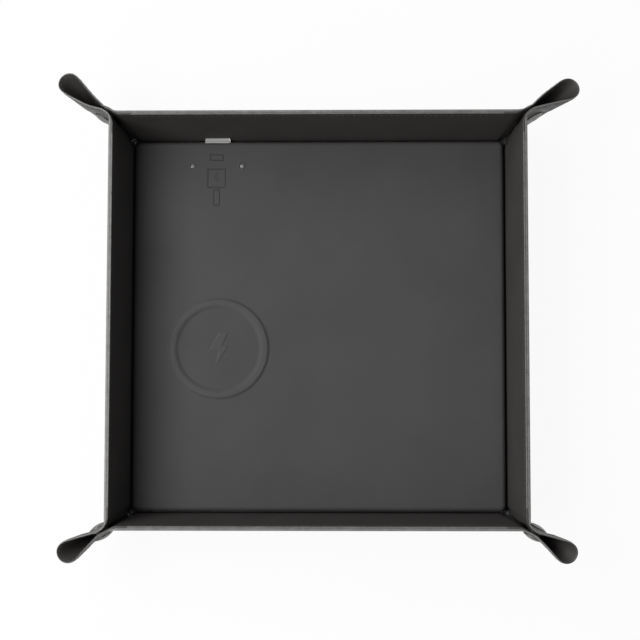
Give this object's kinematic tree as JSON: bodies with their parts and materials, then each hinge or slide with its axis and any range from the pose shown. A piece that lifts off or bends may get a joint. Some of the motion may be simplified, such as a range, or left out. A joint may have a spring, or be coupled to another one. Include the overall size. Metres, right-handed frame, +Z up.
{
  "type": "charging tray",
  "caption": "Square snap-corner leather tray with a wireless charging spot in its floor and a power inlet at the back; the walls fold out flat.",
  "frame": {"origin": "centre of the square base on the table", "axes": "+Z up, +Y to the back wall with the power inlet, +X to the right; the corner ears point mostly along X"},
  "size_m": [0.2838, 0.2656, 0.0452],
  "materials": {
    "outer_leather": "fine grain, matt",
    "lining": "matt, soft",
    "stiff_board": "pressed board",
    "nickel": "satin",
    "dark_plastic": "matt",
    "pale_plastic": "satin",
    "light_lens": "clear, glossy",
    "copper": "enamelled wire",
    "circuit": "solder mask",
    "ferrite": "matt"
  },
  "bodies": {
    "base": {"bottom_skin": "outer_leather", "base_board": "stiff_board", "floor_lining": "lining", "charger_housing": "dark_plastic", "charger_cover": "dark_plastic", "ferrite_shield": "ferrite", "charging_coil": "copper", "charger_board": "circuit", "coil_leads": "copper", "inlet_housing": "pale_plastic", "inlet_shell": "nickel", "inlet_tongue": "dark_plastic", "inlet_board": "circuit", "link_lead": "dark_plastic", "light_guides": "light_lens", "module_screws": "nickel"},
    "back_wall": {"back_wall_skin": "outer_leather", "back_wall_board": "stiff_board", "back_wall_lining": "lining"},
    "front_wall": {"front_wall_skin": "outer_leather", "front_wall_board": "stiff_board", "front_wall_lining": "lining"},
    "left_wall": {"left_wall_skin": "outer_leather", "left_wall_board": "stiff_board", "left_wall_lining": "lining"},
    "right_wall": {"right_wall_skin": "outer_leather", "right_wall_board": "stiff_board", "right_wall_lining": "lining"},
    "back_left_end_layer": {"back_left_end_flap": "outer_leather", "back_left_end_cap": "nickel", "back_left_stud": "nickel"},
    "back_left_end_loop_half": {"back_left_end_loop": "outer_leather"},
    "back_left_side_layer": {"back_left_side_flap": "outer_leather", "back_left_side_cap": "nickel", "back_left_socket": "nickel"},
    "back_left_side_loop_half": {"back_left_side_loop": "outer_leather"},
    "back_right_end_layer": {"back_right_end_flap": "outer_leather", "back_right_end_cap": "nickel", "back_right_stud": "nickel"},
    "back_right_end_loop_half": {"back_right_end_loop": "outer_leather"},
    "back_right_side_layer": {"back_right_side_flap": "outer_leather", "back_right_side_cap": "nickel", "back_right_socket": "nickel"},
    "back_right_side_loop_half": {"back_right_side_loop": "outer_leather"},
    "front_left_end_layer": {"front_left_end_flap": "outer_leather", "front_left_end_cap": "nickel", "front_left_stud": "nickel"},
    "front_left_end_loop_half": {"front_left_end_loop": "outer_leather"},
    "front_left_side_layer": {"front_left_side_flap": "outer_leather", "front_left_side_cap": "nickel", "front_left_socket": "nickel"},
    "front_left_side_loop_half": {"front_left_side_loop": "outer_leather"},
    "front_right_end_layer": {"front_right_end_flap": "outer_leather", "front_right_end_cap": "nickel", "front_right_stud": "nickel"},
    "front_right_end_loop_half": {"front_right_end_loop": "outer_leather"},
    "front_right_side_layer": {"front_right_side_flap": "outer_leather", "front_right_side_cap": "nickel", "front_right_socket": "nickel"},
    "front_right_side_loop_half": {"front_right_side_loop": "outer_leather"}
  },
  "joints": [
    {"name": "back_wall_fold", "type": "hinge", "parent": "base", "child": "back_wall", "pos_m": [0, 0.1064, 0.0005], "axis": [-1, 0, 0], "range_deg": [0, 77]},
    {"name": "front_wall_fold", "type": "hinge", "parent": "base", "child": "front_wall", "pos_m": [0, -0.1064, 0.0005], "axis": [1, 0, 0], "range_deg": [0, 77]},
    {"name": "left_wall_fold", "type": "hinge", "parent": "base", "child": "left_wall", "pos_m": [-0.1064, 0, 0.0005], "axis": [0, -1, 0], "range_deg": [0, 77]},
    {"name": "right_wall_fold", "type": "hinge", "parent": "base", "child": "right_wall", "pos_m": [0.1064, 0, 0.0005], "axis": [0, 1, 0], "range_deg": [0, 77]},
    {"name": "back_left_end_crease", "type": "hinge", "parent": "back_wall", "child": "back_left_end_layer", "pos_m": [-0.10426, 0.10647, 0.00087], "axis": [-0.1711, 0.1711, 0.9703], "range_deg": [0, 42.48]},
    {"name": "back_left_end_unroll", "type": "hinge", "parent": "back_left_end_layer", "child": "back_left_end_loop_half", "pos_m": [-0.1064, 0.1064, 0.0005], "axis": [0.4972, -0.4761, -0.7254], "range_deg": [0, 100.11], "deforming": ["back_left_end_loop"]},
    {"name": "back_left_side_crease", "type": "hinge", "parent": "left_wall", "child": "back_left_side_layer", "pos_m": [-0.10644, 0.10516, 0.00071], "axis": [0.1711, -0.1711, -0.9703], "range_deg": [0, 72.2]},
    {"name": "back_left_side_unroll", "type": "hinge", "parent": "back_left_side_layer", "child": "back_left_side_loop_half", "pos_m": [-0.1064, 0.1064, 0.0005], "axis": [-0.6136, 0.2744, 0.7404], "range_deg": [0, 100.11], "deforming": ["back_left_side_loop"]},
    {"name": "back_right_end_crease", "type": "hinge", "parent": "back_wall", "child": "back_right_end_layer", "pos_m": [0.10426, 0.10647, 0.00087], "axis": [-0.1711, -0.1711, -0.9703], "range_deg": [0, 42.48]},
    {"name": "back_right_end_unroll", "type": "hinge", "parent": "back_right_end_layer", "child": "back_right_end_loop_half", "pos_m": [0.1064, 0.1064, 0.0005], "axis": [0.4972, 0.4761, 0.7254], "range_deg": [0, 100.11], "deforming": ["back_right_end_loop"]},
    {"name": "back_right_side_crease", "type": "hinge", "parent": "right_wall", "child": "back_right_side_layer", "pos_m": [0.10644, 0.10516, 0.00071], "axis": [0.1711, 0.1711, 0.9703], "range_deg": [0, 72.2]},
    {"name": "back_right_side_unroll", "type": "hinge", "parent": "back_right_side_layer", "child": "back_right_side_loop_half", "pos_m": [0.1064, 0.1064, 0.0005], "axis": [-0.6136, -0.2744, -0.7404], "range_deg": [0, 100.11], "deforming": ["back_right_side_loop"]},
    {"name": "front_left_end_crease", "type": "hinge", "parent": "front_wall", "child": "front_left_end_layer", "pos_m": [-0.10426, -0.10647, 0.00087], "axis": [0.1711, 0.1711, -0.9703], "range_deg": [0, 42.48]},
    {"name": "front_left_end_unroll", "type": "hinge", "parent": "front_left_end_layer", "child": "front_left_end_loop_half", "pos_m": [-0.1064, -0.1064, 0.0005], "axis": [-0.4972, -0.4761, 0.7254], "range_deg": [0, 100.11], "deforming": ["front_left_end_loop"]},
    {"name": "front_left_side_crease", "type": "hinge", "parent": "left_wall", "child": "front_left_side_layer", "pos_m": [-0.10644, -0.10516, 0.00071], "axis": [-0.1711, -0.1711, 0.9703], "range_deg": [0, 72.2]},
    {"name": "front_left_side_unroll", "type": "hinge", "parent": "front_left_side_layer", "child": "front_left_side_loop_half", "pos_m": [-0.1064, -0.1064, 0.0005], "axis": [0.6136, 0.2744, -0.7404], "range_deg": [0, 100.11], "deforming": ["front_left_side_loop"]},
    {"name": "front_right_end_crease", "type": "hinge", "parent": "front_wall", "child": "front_right_end_layer", "pos_m": [0.10426, -0.10647, 0.00087], "axis": [0.1711, -0.1711, 0.9703], "range_deg": [0, 42.48]},
    {"name": "front_right_end_unroll", "type": "hinge", "parent": "front_right_end_layer", "child": "front_right_end_loop_half", "pos_m": [0.1064, -0.1064, 0.0005], "axis": [-0.4972, 0.4761, -0.7254], "range_deg": [0, 100.11], "deforming": ["front_right_end_loop"]},
    {"name": "front_right_side_crease", "type": "hinge", "parent": "right_wall", "child": "front_right_side_layer", "pos_m": [0.10644, -0.10516, 0.00071], "axis": [-0.1711, 0.1711, -0.9703], "range_deg": [0, 72.2]},
    {"name": "front_right_side_unroll", "type": "hinge", "parent": "front_right_side_layer", "child": "front_right_side_loop_half", "pos_m": [0.1064, -0.1064, 0.0005], "axis": [0.6136, -0.2744, 0.7404], "range_deg": [0, 100.11], "deforming": ["front_right_side_loop"]}
  ],
  "couplings": [
    {"joint": "front_wall_fold", "follows": "back_wall_fold", "ratio": 1},
    {"joint": "left_wall_fold", "follows": "back_wall_fold", "ratio": 1},
    {"joint": "right_wall_fold", "follows": "back_wall_fold", "ratio": 1},
    {"joint": "back_left_end_crease", "follows": "back_wall_fold", "ratio": 0.5516},
    {"joint": "back_left_end_unroll", "follows": "back_wall_fold", "ratio": 1.3},
    {"joint": "back_left_side_crease", "follows": "back_wall_fold", "ratio": 0.9375},
    {"joint": "back_left_side_unroll", "follows": "back_wall_fold", "ratio": 1.3},
    {"joint": "back_right_end_crease", "follows": "back_wall_fold", "ratio": 0.5516},
    {"joint": "back_right_end_unroll", "follows": "back_wall_fold", "ratio": 1.3},
    {"joint": "back_right_side_crease", "follows": "back_wall_fold", "ratio": 0.9375},
    {"joint": "back_right_side_unroll", "follows": "back_wall_fold", "ratio": 1.3},
    {"joint": "front_left_end_crease", "follows": "back_wall_fold", "ratio": 0.5516},
    {"joint": "front_left_end_unroll", "follows": "back_wall_fold", "ratio": 1.3},
    {"joint": "front_left_side_crease", "follows": "back_wall_fold", "ratio": 0.9375},
    {"joint": "front_left_side_unroll", "follows": "back_wall_fold", "ratio": 1.3},
    {"joint": "front_right_end_crease", "follows": "back_wall_fold", "ratio": 0.5516},
    {"joint": "front_right_end_unroll", "follows": "back_wall_fold", "ratio": 1.3},
    {"joint": "front_right_side_crease", "follows": "back_wall_fold", "ratio": 0.9375},
    {"joint": "front_right_side_unroll", "follows": "back_wall_fold", "ratio": 1.3}
  ]
}
